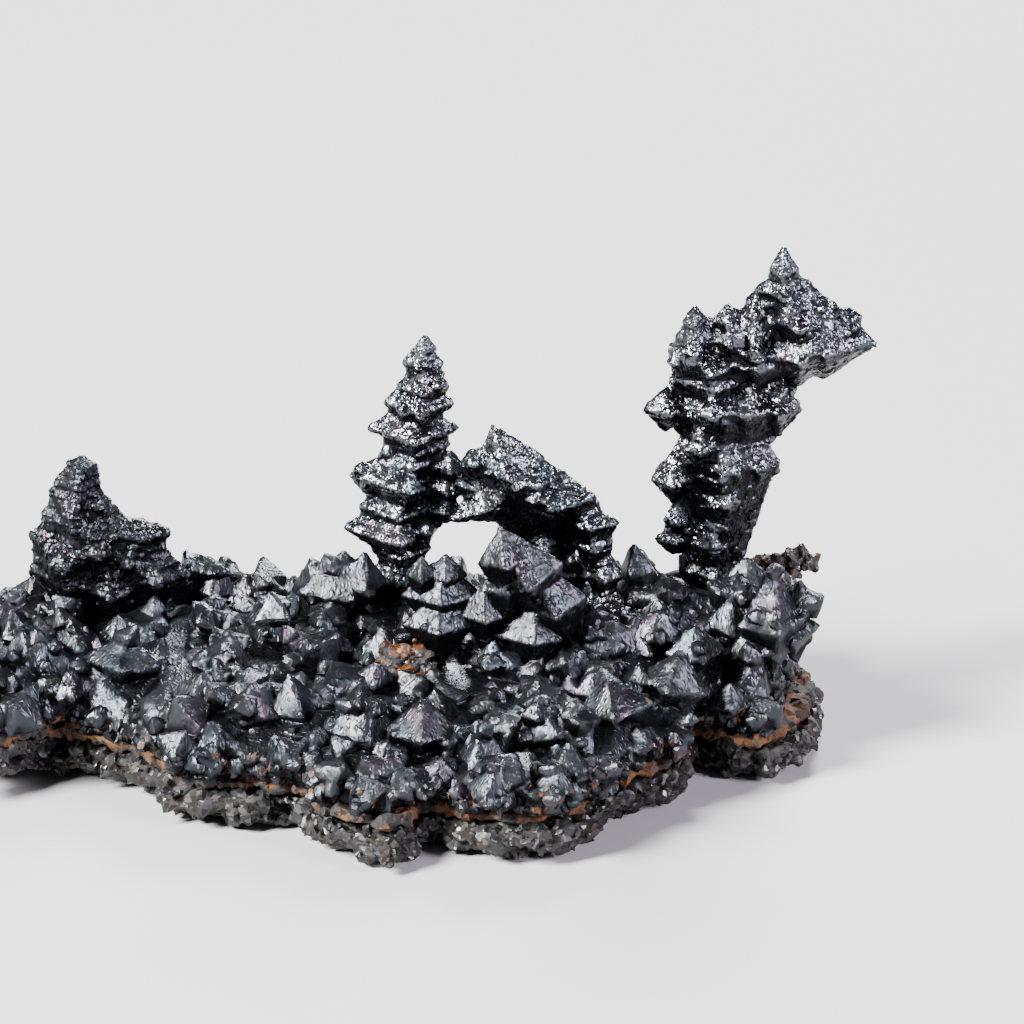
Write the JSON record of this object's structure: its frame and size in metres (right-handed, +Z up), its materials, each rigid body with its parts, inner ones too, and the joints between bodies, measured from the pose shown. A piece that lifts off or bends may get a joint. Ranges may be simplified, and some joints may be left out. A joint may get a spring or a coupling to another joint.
{
  "type": "acanthite specimen",
  "caption": "Mineral specimen: a thin plate of grey matrix with a rusty seam and a crust of dark sulphide crystals, from which stepped spires rise.",
  "frame": {"origin": "on the ground flat of the underside, at the mount rest_face, near the middle of the specimen's length", "axes": "+X along the plate to the right, towards the hammer-shaped spire; +Y to the back; +Z up, out of the crust"},
  "size_m": [0.0582, 0.0334, 0.0312],
  "materials": {
    "acanthite": "satin",
    "matrix_rock": "matte",
    "limonite": "matte",
    "gangue": "matte"
  },
  "bodies": {
    "root": {"matrix_plate": "matrix_rock", "limonite_seam": "limonite", "crystal_crust": "acanthite", "hammer_spire": "acanthite", "fir_spire": "acanthite", "arch_spire": "acanthite", "left_pyramid": "acanthite", "front_block": "acanthite", "rusty_spur": "limonite", "gangue_patch": "gangue"}
  },
  "joints": []
}
